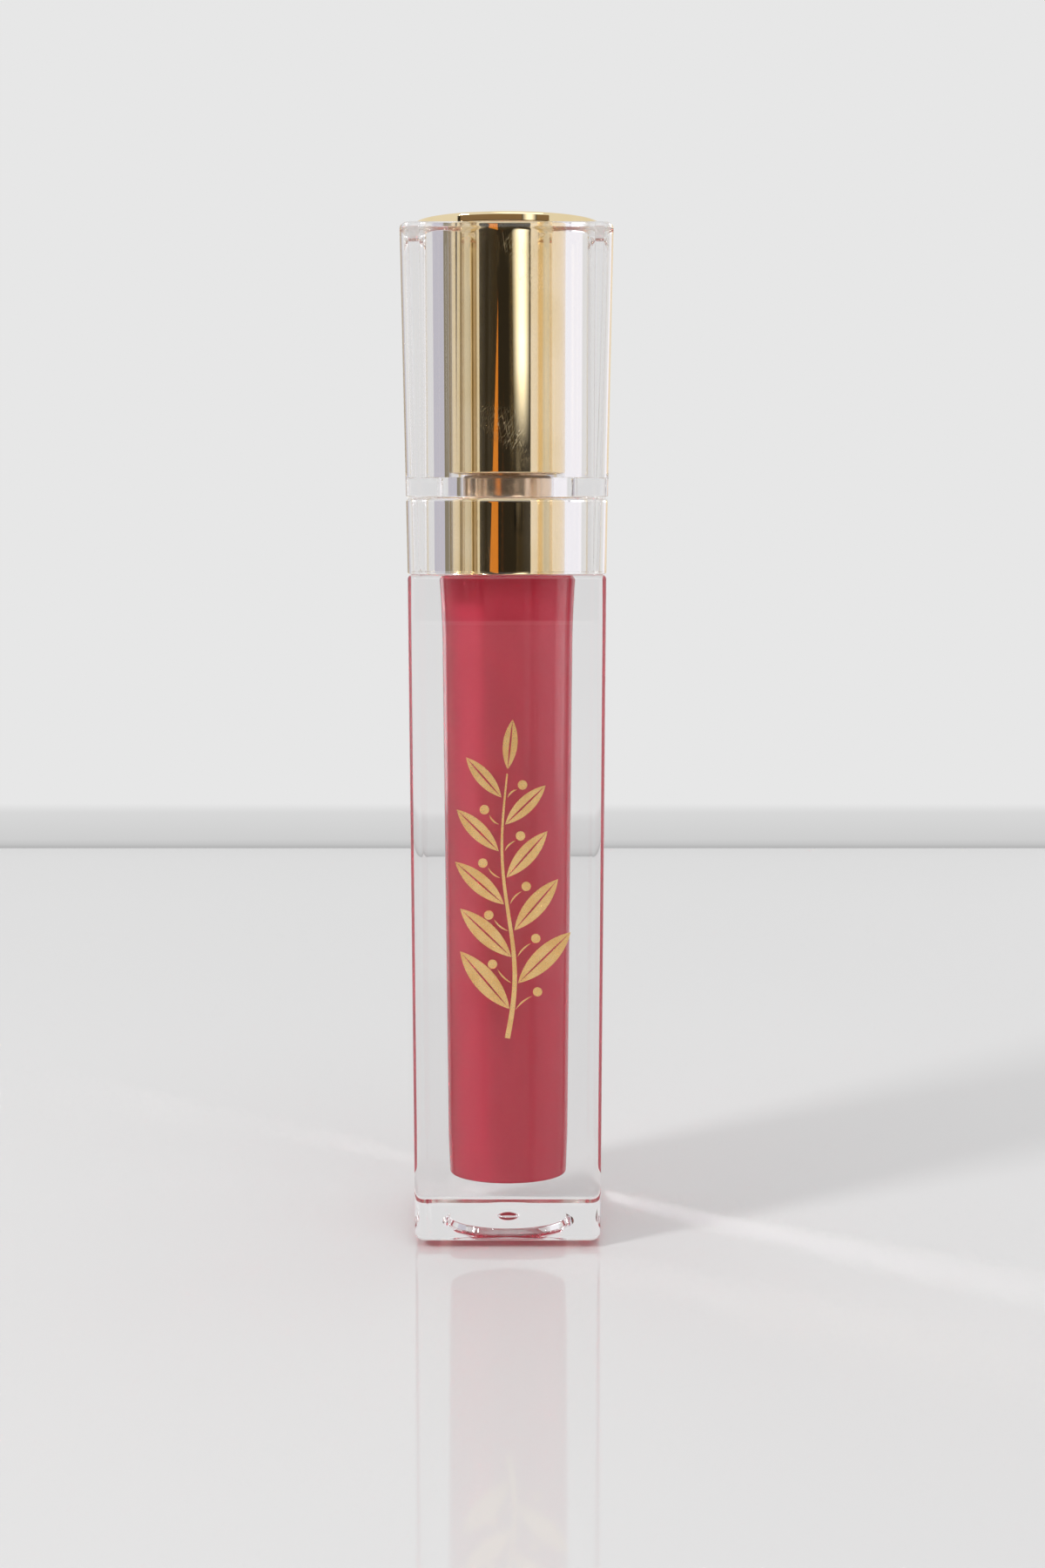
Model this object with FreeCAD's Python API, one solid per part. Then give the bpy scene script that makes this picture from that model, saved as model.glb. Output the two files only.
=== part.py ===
"""Lip gloss tube: square thick-walled clear bottle, collar, screw cap and applicator wand.

Millimetres. +Z is up along the tube, the front faces -Y, and the origin is the centre of the foot.
Heights are written from the lower edge of the side faces, and the tube is raised on to its foot ring last.
"""
import FreeCAD, Part
import math
import os

from FreeCAD import Vector

# Square clear body: bottle, collar and overcap, stacked from the foot up.
BASE_WIDTH = 19.5
SHOULDER_WIDTH = 19.9
COLLAR_TOP_WIDTH = 20.1
CAP_TOP_WIDTH = 20.9
SHOULDER_Z = 69.4
COLLAR_TOP_Z = 77.0
CAP_TOP_Z = 103.6
SEAM = 0.1
CORNER_RADIUS = 1.3
EDGE_ROUND = 0.4
SEAT_ROUND = 0.2
CAP_EDGE_ROUND = 0.65
BASE_ROUND = 0.6

# Bottle cavity and foot.
CAVITY_FLOOR_Z = 5.4
CAVITY_FLOOR_RADIUS = 6.18
CAVITY_FOOT_RADIUS = 6.33
CAVITY_FOOT_Z = 9.5
CAVITY_RADIUS = 6.68
CAVITY_FLARE_Z = 61.0
CAVITY_MOUTH_RADIUS = 7.0
CAVITY_FLOOR_ROUND = 0.3
CAVITY_FLOOR_SAG = 0.15
CAVITY_FLARE_BOW = 0.05
CAVITY_FLARE_BOW_DROP = 0.6
FOOT_HEIGHT = 0.7
FOOT_RING_RADIUS = 7.1
FOOT_RING_ROUND = 0.15
RECESS_RADIUS = 6.5
RECESS_DRAFT = 0.2
RECESS_CEILING_Z = 0.6
GATE_PIT_RADIUS = 1.2
GATE_PIT_DEPTH = 0.5
GATE_PIT_BOW_RADIUS = 0.9
GATE_PIT_BOW_DEPTH = 0.33

# Neck insert, which plugs the bottle's mouth.
SPIGOT_RADIUS = 8.0
SPIGOT_TOP_Z = 72.4
NECK_FLANGE_TOP_Z = 74.0
NECK_BARREL_RADIUS = 6.75
NECK_BARREL_TOP_Z = 79.3
NECK_ROOT_RADIUS = 5.8
NECK_RIM_Z = 90.0
NECK_BORE_RADIUS = 4.75
NECK_BARREL_CHAMFER = 0.3
NECK_RIM_CHAMFER = 0.2

# Single-start thread.
THREAD_PITCH = 3.6
THREAD_TURNS = 1.25
THREAD_START_Z = 82.2
THREAD_ROOT_WIDTH = 1.6
THREAD_CREST_WIDTH = 0.8
MALE_CREST_RADIUS = 6.5
FEMALE_CREST_RADIUS = 6.65
FEMALE_ROOT_RADIUS = 7.3
THREAD_EMBED = 0.2

# Gold ring and gold liner, each in a round bore of the clear body.
BORE_RADIUS = 8.85
LINER_RADIUS = 8.78
LINER_WALL = 0.55
COLLAR_LIP_RADIUS = 7.05
COLLAR_LIP_THICKNESS = 0.6
CAP_FLOOR_THICKNESS = 2.0
CAP_FLOOR_BORE_RADIUS = 7.15
LINER_BOTTOM_Z = 79.5
GOLD_CHAMFER = 0.2
HEAD_CHAMFER = 0.15
HEAD_RADIUS = 9.45
HEAD_HEIGHT = 1.0
HEAD_ROUND = 0.3

# Inner cap, pressed into the liner.
INNER_CAP_RADIUS = 8.2
INNER_CAP_BOTTOM_Z = 79.6
INNER_CAP_WEB_Z = 92.1
INNER_CAP_WEB = 1.4
INNER_CAP_TOP_Z = 99.5
SOCKET_WALL = 1.5
INNER_CAP_CHAMFER = 0.3
RIB_COUNT = 6
RIB_THICKNESS = 0.9
RIB_TOP_GAP = 1.0
RIB_EMBED = 0.2

# Seal washer and wiper.
WASHER_RADIUS = 6.3
WASHER_THICKNESS = 0.9
WASHER_BORE_RADIUS = 2.2
WIPER_FLANGE_RADIUS = 5.3
WIPER_FLANGE_THICKNESS = 0.7
WIPER_ORIFICE_RADIUS = 2.45
WIPER_WALL = 0.5
WIPER_BOTTOM_Z = 78.0
WIPER_CONE_HEIGHT = 3.0
WIPER_SEAT_GAP = 0.02
WIPER_ENTRY_WIDTH = 0.3
WIPER_ENTRY_DEPTH = 0.5

# Wand.
STEM_RADIUS = 1.9
STEM_FLANGE_RADIUS = 5.0
STEM_FLANGE_THICKNESS = 1.0
STEM_HEAD_RADIUS = 2.6
STEM_HEAD_TOP_Z = 98.6
STEM_BOTTOM_Z = 25.0
STEM_TIP_CHAMFER = 0.3
STEM_HEAD_CHAMFER = 0.4
CORE_RADIUS = 1.1
CORE_TOP_Z = 33.0
CORE_BOTTOM_Z = 15.5
FLOCK_RADIUS = 2.25
FLOCK_NECK_RADIUS = 1.5
FLOCK_TOP_Z = 24.7
FLOCK_TAPER = 2.5
FLOCK_BOTTOM_Z = 8.6
FLOCK_SLANT_RISE = 6.0
FLOCK_SLANT_START = 0.9

# Gloss.
GLOSS_CLEARANCE = 0.03
GLOSS_LEVEL_Z = 77.4
WELL_RADIUS = 2.85
WELL_BOTTOM_Z = 7.4

# Foil ornament on the front face.
FOIL_THICKNESS = 0.05
FOIL_GAP = 0.01
FOIL_BOTTOM_Z = 22.0
SPRIG_HEIGHT = 27.5
STEM_SWAY = 0.9
STEM_WIDTH = 0.55
STEM_TAPER = 0.7
STEM_STATIONS = 12
TANGENT_STEP = 0.01
LEAF_COUNT = 9
LEAF_LENGTH = 8.2
LEAF_TAPER = 0.38
LEAF_ANGLE = 44.0
LEAF_WIDTH_SHARE = 0.29
VEIN_WIDTH = 0.2
BERRY_ANGLE = 46.0
BERRY_REACH = 0.37
BERRY_RADIUS = 0.48
BERRY_STALK_BOW = 0.25
STALK_WIDTH = 0.16
FOIL_BREAK = 0.45

PRESS_CLEARANCE = 0.04
RUNNING_CLEARANCE = 0.05
AXIS = Vector(0, 0, 1)


def width_at(z):
    """Width of the square body at height z: three straight tapers that meet at the seams."""
    levels = [
        (0.0, BASE_WIDTH),
        (SHOULDER_Z, SHOULDER_WIDTH),
        (COLLAR_TOP_Z, COLLAR_TOP_WIDTH),
        (CAP_TOP_Z, CAP_TOP_WIDTH),
    ]
    for (low_z, low), (high_z, high) in zip(levels, levels[1:]):
        if z <= high_z:
            return low + (high - low) * (z - low_z) / (high_z - low_z)
    return CAP_TOP_WIDTH


def rounded_square(z):
    """Square wire with round corners, the size of the body at height z."""
    half = width_at(z) / 2
    flat = half - CORNER_RADIUS
    diagonal = flat + CORNER_RADIUS * math.sqrt(0.5)
    edges = []
    for quarter in range(4):
        turn = FreeCAD.Rotation(AXIS, 90 * quarter)
        start = turn.multVec(Vector(half, -flat, z))
        end = turn.multVec(Vector(half, flat, z))
        middle = turn.multVec(Vector(diagonal, diagonal, z))
        after = turn.multVec(Vector(flat, half, z))
        edges.append(Part.makeLine(start, end))
        edges.append(Part.Arc(end, middle, after).toShape())
    return Part.Wire(edges)


def rim_edges(block, z):
    """Edges of a block that lie all along at height z."""
    return [edge for edge in block.Edges if max(abs(vertex.Z - z) for vertex in edge.Vertexes) < SEAM / 2]


def square_block(bottom_z, top_z, bottom_round, top_round):
    """Tapered square block with rounded bottom and top edges."""
    block = Part.makeLoft([rounded_square(bottom_z), rounded_square(top_z)], True, True)
    block = block.makeFillet(bottom_round, rim_edges(block, bottom_z))
    return block.makeFillet(top_round, rim_edges(block, top_z))


def turned(start, *steps):
    """Solid of revolution about Z. Points are (radius, z), and a pair of points is an arc's middle and end."""
    edges = []
    here = start
    for step in steps + (start,):
        is_arc = isinstance(step[0], tuple)
        end = step[1] if is_arc else step
        first, last = Vector(here[0], 0, here[1]), Vector(end[0], 0, end[1])
        if is_arc:
            middle = Vector(step[0][0], 0, step[0][1])
            edges.append(Part.Arc(first, middle, last).toShape())
        elif not first.isEqual(last, 1e-6):
            edges.append(Part.makeLine(first, last))
        here = end
    return Part.Face(Part.Wire(edges)).revolve(Vector(0, 0, 0), AXIS, 360)


def rod(radius, bottom_z, top_z):
    """Round rod on the tube's axis."""
    return Part.makeCylinder(radius, top_z - bottom_z, Vector(0, 0, bottom_z))


def quarter_round(centre, radius, degrees):
    """Middle point of a quarter arc round (radius, z) centre, at the given angle from +radius."""
    angle = math.radians(degrees)
    return centre[0] + radius * math.cos(angle), centre[1] + radius * math.sin(angle)


def cavity(clearance):
    """Round cavity of the bottle, drawn in by clearance: domed floor, slight draft, flared mouth."""
    floor_z = CAVITY_FLOOR_Z + clearance
    floor_radius = CAVITY_FLOOR_RADIUS - clearance
    wall_radius = CAVITY_RADIUS - clearance
    mouth_radius = CAVITY_MOUTH_RADIUS - clearance
    round_centre = (floor_radius - CAVITY_FLOOR_ROUND, floor_z + CAVITY_FLOOR_ROUND + CAVITY_FLOOR_SAG)
    flare_middle = (
        (wall_radius + mouth_radius) / 2 + CAVITY_FLARE_BOW,
        (CAVITY_FLARE_Z + SHOULDER_Z) / 2 - CAVITY_FLARE_BOW_DROP,
    )
    return turned(
        (0, floor_z),
        ((round_centre[0] / 2, floor_z + CAVITY_FLOOR_SAG / 4), (round_centre[0], floor_z + CAVITY_FLOOR_SAG)),
        (quarter_round(round_centre, CAVITY_FLOOR_ROUND, -45), (floor_radius, round_centre[1])),
        (CAVITY_FOOT_RADIUS - clearance, CAVITY_FOOT_Z),
        (wall_radius, CAVITY_FLARE_Z),
        (flare_middle, (mouth_radius, SHOULDER_Z)),
        (0, SHOULDER_Z),
    )


def foot_ring():
    """Round ring that the bottle stands on, with its lower edges rounded."""
    inside_radius = RECESS_RADIUS
    outside = (FOOT_RING_RADIUS - FOOT_RING_ROUND, FOOT_RING_ROUND - FOOT_HEIGHT)
    inside = (inside_radius + FOOT_RING_ROUND, FOOT_RING_ROUND - FOOT_HEIGHT)
    return turned(
        (inside_radius, SEAM),
        (inside_radius, inside[1]),
        (quarter_round(inside, FOOT_RING_ROUND, -135), (inside[0], -FOOT_HEIGHT)),
        (outside[0], -FOOT_HEIGHT),
        (quarter_round(outside, FOOT_RING_ROUND, -45), (FOOT_RING_RADIUS, outside[1])),
        (FOOT_RING_RADIUS, SEAM),
    )


def bottle_body():
    """Thick-walled square bottle with its round cavity, spigot, foot ring, recess and gate pit."""
    block = square_block(0, SHOULDER_Z, BASE_ROUND, EDGE_ROUND)
    spigot = rod(SPIGOT_RADIUS, SHOULDER_Z - EDGE_ROUND, SPIGOT_TOP_Z)
    mouth = rod(CAVITY_MOUTH_RADIUS, SHOULDER_Z - SEAM, SPIGOT_TOP_Z + SEAM)
    recess = turned(
        (0, -SEAM),
        (RECESS_RADIUS, -SEAM),
        (RECESS_RADIUS, 0),
        (RECESS_RADIUS - RECESS_DRAFT, RECESS_CEILING_Z),
        (0, RECESS_CEILING_Z),
    )
    gate_pit = turned(
        (0, RECESS_CEILING_Z - SEAM),
        (GATE_PIT_RADIUS, RECESS_CEILING_Z - SEAM),
        (GATE_PIT_RADIUS, RECESS_CEILING_Z),
        ((GATE_PIT_BOW_RADIUS, RECESS_CEILING_Z + GATE_PIT_BOW_DEPTH), (0, RECESS_CEILING_Z + GATE_PIT_DEPTH)),
    )
    outside = block.fuse(spigot).fuse(foot_ring())
    return outside.cut(cavity(0)).cut(mouth).cut(recess).cut(gate_pit)


def gloss_fill():
    """Gloss that fills the cavity and the foot of the neck, with the room that the wand takes in it."""
    body = cavity(GLOSS_CLEARANCE)
    column = rod(NECK_BORE_RADIUS - GLOSS_CLEARANCE, SHOULDER_Z - SEAM, GLOSS_LEVEL_Z)
    well = rod(WELL_RADIUS, WELL_BOTTOM_Z, GLOSS_LEVEL_Z + SEAM)
    return body.fuse(column).cut(well)


def thread_ridge(face_radius, crest_radius, start_z):
    """Helical ridge from a round face to its crest, bedded a little into the face."""
    outward = 1 if crest_radius > face_radius else -1
    bed_radius = face_radius - outward * THREAD_EMBED
    helix = Part.makeHelix(THREAD_PITCH, THREAD_PITCH * THREAD_TURNS, face_radius)
    helix.translate(Vector(0, 0, start_z))
    corners = [
        Vector(bed_radius, 0, start_z - THREAD_ROOT_WIDTH / 2),
        Vector(crest_radius, 0, start_z - THREAD_CREST_WIDTH / 2),
        Vector(crest_radius, 0, start_z + THREAD_CREST_WIDTH / 2),
        Vector(bed_radius, 0, start_z + THREAD_ROOT_WIDTH / 2),
    ]
    profile = Part.makePolygon(corners + corners[:1])
    return Part.Wire(helix.Edges).makePipeShell([profile], True, True)


def threaded_neck():
    """Neck insert: plug and flange in the bottle's mouth, smooth barrel, and threaded spout with its bore."""
    plug_radius = CAVITY_MOUTH_RADIUS - PRESS_CLEARANCE
    plug_z = SHOULDER_Z + SEAM / 2
    flange_z = SPIGOT_TOP_Z + SEAM / 2
    recess_radius = WIPER_FLANGE_RADIUS + PRESS_CLEARANCE
    recess_z = NECK_RIM_Z - WIPER_FLANGE_THICKNESS
    neck = turned(
        (NECK_BORE_RADIUS, plug_z),
        (plug_radius, plug_z),
        (plug_radius, flange_z),
        (SPIGOT_RADIUS, flange_z),
        (SPIGOT_RADIUS, NECK_FLANGE_TOP_Z),
        (NECK_BARREL_RADIUS, NECK_FLANGE_TOP_Z),
        (NECK_BARREL_RADIUS, NECK_BARREL_TOP_Z - NECK_BARREL_CHAMFER),
        (NECK_BARREL_RADIUS - NECK_BARREL_CHAMFER, NECK_BARREL_TOP_Z),
        (NECK_ROOT_RADIUS, NECK_BARREL_TOP_Z),
        (NECK_ROOT_RADIUS, NECK_RIM_Z - NECK_RIM_CHAMFER),
        (NECK_ROOT_RADIUS - NECK_RIM_CHAMFER, NECK_RIM_Z),
        (recess_radius, NECK_RIM_Z),
        (recess_radius, recess_z),
        (NECK_BORE_RADIUS, recess_z),
    )
    return neck.fuse(thread_ridge(NECK_ROOT_RADIUS, MALE_CREST_RADIUS, THREAD_START_Z))


def wiper():
    """Soft wiper: flange in the neck's rim, thin skirt, and a cone that closes down to the orifice."""
    skirt_radius = NECK_BORE_RADIUS - PRESS_CLEARANCE
    inside_radius = skirt_radius - WIPER_WALL
    flange_z = NECK_RIM_Z - WIPER_FLANGE_THICKNESS + WIPER_SEAT_GAP
    cone_z = WIPER_BOTTOM_Z + WIPER_CONE_HEIGHT
    lip_z = WIPER_BOTTOM_Z + WIPER_WALL
    return turned(
        (WIPER_ORIFICE_RADIUS, WIPER_BOTTOM_Z),
        (WIPER_ORIFICE_RADIUS + WIPER_WALL, WIPER_BOTTOM_Z),
        (skirt_radius, cone_z),
        (skirt_radius, flange_z),
        (WIPER_FLANGE_RADIUS, flange_z),
        (WIPER_FLANGE_RADIUS, NECK_RIM_Z),
        (inside_radius + WIPER_ENTRY_WIDTH, NECK_RIM_Z),
        (inside_radius, NECK_RIM_Z - WIPER_ENTRY_DEPTH),
        (inside_radius, cone_z + WIPER_WALL),
        (WIPER_ORIFICE_RADIUS, lip_z),
    )


def collar_shell():
    """Clear square collar, bored through for the gold ring."""
    bottom_z = SHOULDER_Z + SEAM
    block = square_block(bottom_z, COLLAR_TOP_Z, SEAT_ROUND, EDGE_ROUND)
    return block.cut(rod(BORE_RADIUS, bottom_z - SEAM, COLLAR_TOP_Z + SEAM))


def collar_ring():
    """Gold ring in the collar, with a lip that closes in to the neck at the top."""
    inside_radius = LINER_RADIUS - LINER_WALL
    bottom_z = SHOULDER_Z + SEAM + SEAM / 2
    top_z = COLLAR_TOP_Z - SEAM / 2
    lip_z = top_z - COLLAR_LIP_THICKNESS
    return turned(
        (inside_radius, bottom_z),
        (LINER_RADIUS, bottom_z),
        (LINER_RADIUS, top_z - GOLD_CHAMFER),
        (LINER_RADIUS - GOLD_CHAMFER, top_z),
        (COLLAR_LIP_RADIUS + GOLD_CHAMFER, top_z),
        (COLLAR_LIP_RADIUS, top_z - GOLD_CHAMFER),
        (COLLAR_LIP_RADIUS, lip_z),
        (inside_radius, lip_z),
    )


def overcap():
    """Clear square sleeve of the cap: round bore open at the top, and a clear floor with the neck's hole."""
    bottom_z = COLLAR_TOP_Z + SEAM
    floor_z = bottom_z + CAP_FLOOR_THICKNESS
    block = square_block(bottom_z, CAP_TOP_Z, SEAT_ROUND, CAP_EDGE_ROUND)
    bore = rod(BORE_RADIUS, floor_z, CAP_TOP_Z + SEAM)
    hole = rod(CAP_FLOOR_BORE_RADIUS, bottom_z - SEAM, floor_z + SEAM)
    return block.cut(bore).cut(hole)


def cap_liner():
    """Gold closed-top liner, with a round head that rests on the sleeve's top."""
    inside_radius = LINER_RADIUS - LINER_WALL
    head_z = CAP_TOP_Z + SEAM / 2
    top_z = head_z + HEAD_HEIGHT
    round_centre = (HEAD_RADIUS - HEAD_ROUND, top_z - HEAD_ROUND)
    return turned(
        (inside_radius, LINER_BOTTOM_Z),
        (LINER_RADIUS, LINER_BOTTOM_Z),
        (LINER_RADIUS, head_z),
        (HEAD_RADIUS - HEAD_CHAMFER, head_z),
        (HEAD_RADIUS, head_z + HEAD_CHAMFER),
        (HEAD_RADIUS, round_centre[1]),
        (quarter_round(round_centre, HEAD_ROUND, 45), (round_centre[0], top_z)),
        (0, top_z),
        (0, CAP_TOP_Z),
        (inside_radius, CAP_TOP_Z),
    )


def inner_cap():
    """Threaded cap inside the liner: skirt with the female thread, web, and ribbed socket for the wand."""
    socket_radius = STEM_HEAD_RADIUS + RUNNING_CLEARANCE
    boss_radius = socket_radius + SOCKET_WALL
    web_top_z = INNER_CAP_WEB_Z + INNER_CAP_WEB
    shell = turned(
        (FEMALE_ROOT_RADIUS + INNER_CAP_CHAMFER, INNER_CAP_BOTTOM_Z),
        (INNER_CAP_RADIUS, INNER_CAP_BOTTOM_Z),
        (INNER_CAP_RADIUS, INNER_CAP_TOP_Z),
        (FEMALE_ROOT_RADIUS, INNER_CAP_TOP_Z),
        (FEMALE_ROOT_RADIUS, web_top_z),
        (boss_radius, web_top_z),
        (boss_radius, INNER_CAP_TOP_Z),
        (socket_radius, INNER_CAP_TOP_Z),
        (socket_radius, INNER_CAP_WEB_Z),
        (FEMALE_ROOT_RADIUS, INNER_CAP_WEB_Z),
        (FEMALE_ROOT_RADIUS, INNER_CAP_BOTTOM_Z + INNER_CAP_CHAMFER),
    )
    ribs = []
    for index in range(RIB_COUNT):
        length = FEMALE_ROOT_RADIUS - boss_radius + 2 * RIB_EMBED
        rib = Part.makeBox(length, RIB_THICKNESS, INNER_CAP_TOP_Z - RIB_TOP_GAP - web_top_z + RIB_EMBED)
        rib.translate(Vector(boss_radius - RIB_EMBED, -RIB_THICKNESS / 2, web_top_z - RIB_EMBED))
        rib.rotate(Vector(0, 0, 0), AXIS, 360 * index / RIB_COUNT)
        ribs.append(rib)
    thread = thread_ridge(FEMALE_ROOT_RADIUS, FEMALE_CREST_RADIUS, THREAD_START_Z - THREAD_PITCH / 2)
    return shell.fuse(ribs + [thread])


def seal_washer():
    """Soft washer on the stem, between the neck's rim and the stem's flange."""
    bottom_z = NECK_RIM_Z + RUNNING_CLEARANCE
    return rod(WASHER_RADIUS, bottom_z, bottom_z + WASHER_THICKNESS).cut(
        rod(WASHER_BORE_RADIUS, bottom_z - SEAM, bottom_z + WASHER_THICKNESS + SEAM)
    )


def wand_stem():
    """Stem of the wand: head in the inner cap's socket, flange under its web, and a bored lower end."""
    flange_top_z = INNER_CAP_WEB_Z - RUNNING_CLEARANCE
    flange_z = flange_top_z - STEM_FLANGE_THICKNESS
    stem = turned(
        (0, STEM_BOTTOM_Z),
        (STEM_RADIUS - STEM_TIP_CHAMFER, STEM_BOTTOM_Z),
        (STEM_RADIUS, STEM_BOTTOM_Z + STEM_TIP_CHAMFER),
        (STEM_RADIUS, flange_z),
        (STEM_FLANGE_RADIUS, flange_z),
        (STEM_FLANGE_RADIUS, flange_top_z),
        (STEM_HEAD_RADIUS, flange_top_z),
        (STEM_HEAD_RADIUS, STEM_HEAD_TOP_Z - STEM_HEAD_CHAMFER),
        (STEM_HEAD_RADIUS - STEM_HEAD_CHAMFER, STEM_HEAD_TOP_Z),
        (0, STEM_HEAD_TOP_Z),
    )
    core_bore = rod(CORE_RADIUS + RUNNING_CLEARANCE, STEM_BOTTOM_Z - SEAM, CORE_TOP_Z + SEAM)
    return stem.cut(core_bore)


def applicator_core():
    """Thin core that joins the flocked tip to the stem."""
    return rod(CORE_RADIUS, CORE_BOTTOM_Z, CORE_TOP_Z)


def applicator_flock():
    """Flocked doe-foot tip: a round-ended sleeve round the core, cut slantwise on its front side."""
    end_centre = (0, FLOCK_BOTTOM_Z + FLOCK_RADIUS)
    sleeve = turned(
        (0, FLOCK_BOTTOM_Z),
        (quarter_round(end_centre, FLOCK_RADIUS, -45), (FLOCK_RADIUS, end_centre[1])),
        (FLOCK_RADIUS, FLOCK_TOP_Z - FLOCK_TAPER),
        (FLOCK_NECK_RADIUS, FLOCK_TOP_Z),
        (0, FLOCK_TOP_Z),
    )
    reach = 2 * FLOCK_RADIUS
    corners = [
        Vector(-reach, FLOCK_SLANT_START, FLOCK_BOTTOM_Z),
        Vector(-reach, -FLOCK_RADIUS, FLOCK_BOTTOM_Z + FLOCK_SLANT_RISE),
        Vector(-reach, -reach, FLOCK_BOTTOM_Z + FLOCK_SLANT_RISE),
        Vector(-reach, -reach, FLOCK_BOTTOM_Z),
    ]
    slant = Part.Face(Part.makePolygon(corners + corners[:1])).extrude(Vector(2 * reach, 0, 0))
    core_hole = rod(CORE_RADIUS + PRESS_CLEARANCE / 2, CORE_BOTTOM_Z - PRESS_CLEARANCE, FLOCK_TOP_Z + SEAM)
    return sleeve.cut(slant).cut(core_hole)


def crescent(base, tip, left_bulge, right_bulge):
    """Flat face between two arcs from base to tip. A bulge is how far an arc's middle stands left of the chord."""
    chord = tip - base
    left = Vector(-chord.z, 0, chord.x).normalize()
    middle = (base + tip) / 2
    edges = [
        Part.Arc(base, middle + left * left_bulge, tip).toShape(),
        Part.Arc(tip, middle + left * right_bulge, base).toShape(),
    ]
    return Part.Face(Part.Wire(edges))


def on_stem(share):
    """Point of the sprig's S-shaped stem, from 0 at its foot to 1 at its tip."""
    sway = STEM_SWAY * math.sin(2 * math.pi * share) * (1 - share / 2)
    return Vector(sway, 0, SPRIG_HEIGHT * share)


def stem_direction(share):
    """Unit tangent of the stem."""
    return (on_stem(share + TANGENT_STEP) - on_stem(share - TANGENT_STEP)).normalize()


def stem_ribbon():
    """Face of the stem: two smooth edges that draw together at the tip."""
    left, right = [], []
    for index in range(STEM_STATIONS + 1):
        share = index / STEM_STATIONS
        along = stem_direction(share)
        across = Vector(-along.z, 0, along.x) * (STEM_WIDTH * (1 - STEM_TAPER * share) / 2)
        left.append(on_stem(share) + across)
        right.append(on_stem(share) - across)
    edges = [
        Part.BSplineCurve(left).toShape(),
        Part.makeLine(left[-1], right[-1]),
        Part.BSplineCurve(right).toShape(),
        Part.makeLine(right[0], left[0]),
    ]
    return Part.Face(Part.Wire(Part.sortEdges(edges)[0]))


def foil(face):
    """Foil layer on a flat outline."""
    return face.extrude(Vector(0, -FOIL_THICKNESS, 0))


def split_leaf(base, along, length):
    """Leaf of two foil halves with a fine vein left open between them."""
    tip = base + along * length
    vein = VEIN_WIDTH / 2
    belly = length * LEAF_WIDTH_SHARE / 2
    return [foil(crescent(base, tip, belly, vein)), foil(crescent(base, tip, -vein, -belly))]


def berry(base, along, length):
    """Round berry, and its fine curved stalk that stops just short of it."""
    centre = base + along * length
    stalk_end = centre - along * (BERRY_RADIUS + FOIL_BREAK / 2)
    stalk = crescent(base, stalk_end, BERRY_STALK_BOW, BERRY_STALK_BOW - STALK_WIDTH)
    outline = Part.Wire(Part.makeCircle(BERRY_RADIUS, centre, Vector(0, -1, 0)))
    return [foil(stalk), foil(Part.Face(outline))]


def front_ornament():
    """Foil sprig on the front face: an S-shaped stem with split leaves on both sides, and berries."""
    solids = [foil(stem_ribbon())]
    for index in range(LEAF_COUNT):
        share = (index + 1) / (LEAF_COUNT + 1)
        side = 1 if index % 2 else -1
        along = (stem_direction(share) + AXIS).normalize()
        leaf_way = FreeCAD.Rotation(Vector(0, 1, 0), side * LEAF_ANGLE).multVec(along)
        berry_way = FreeCAD.Rotation(Vector(0, 1, 0), -side * BERRY_ANGLE).multVec(along)
        length = LEAF_LENGTH * (1 - LEAF_TAPER * share)
        solids += split_leaf(on_stem(share) + leaf_way * FOIL_BREAK, leaf_way, length)
        solids += berry(on_stem(share) + berry_way * FOIL_BREAK, berry_way, length * BERRY_REACH)
    top = stem_direction(1)
    solids += split_leaf(on_stem(1) + top * FOIL_BREAK, top, LEAF_LENGTH * (1 - LEAF_TAPER))
    sprig = Part.makeCompound(solids)
    tilt = math.degrees(math.atan2((SHOULDER_WIDTH - BASE_WIDTH) / 2, SHOULDER_Z))
    sprig.rotate(Vector(0, 0, 0), Vector(1, 0, 0), tilt)
    sprig.translate(Vector(0, -width_at(FOIL_BOTTOM_Z) / 2 - FOIL_GAP, FOIL_BOTTOM_Z))
    return sprig


PIECES = [
    bottle_body,
    gloss_fill,
    front_ornament,
    threaded_neck,
    wiper,
    collar_shell,
    collar_ring,
    overcap,
    cap_liner,
    inner_cap,
    seal_washer,
    wand_stem,
    applicator_core,
    applicator_flock,
]

os.makedirs("parts", exist_ok=True)
for piece in PIECES:
    shape = piece()
    shape.translate(Vector(0, 0, FOOT_HEIGHT))
    shape.exportStep("parts/" + piece.__name__ + ".step")
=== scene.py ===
"""Looks of the lip gloss tube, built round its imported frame. Metres, +Z up, front towards -Y."""
import math

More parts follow.
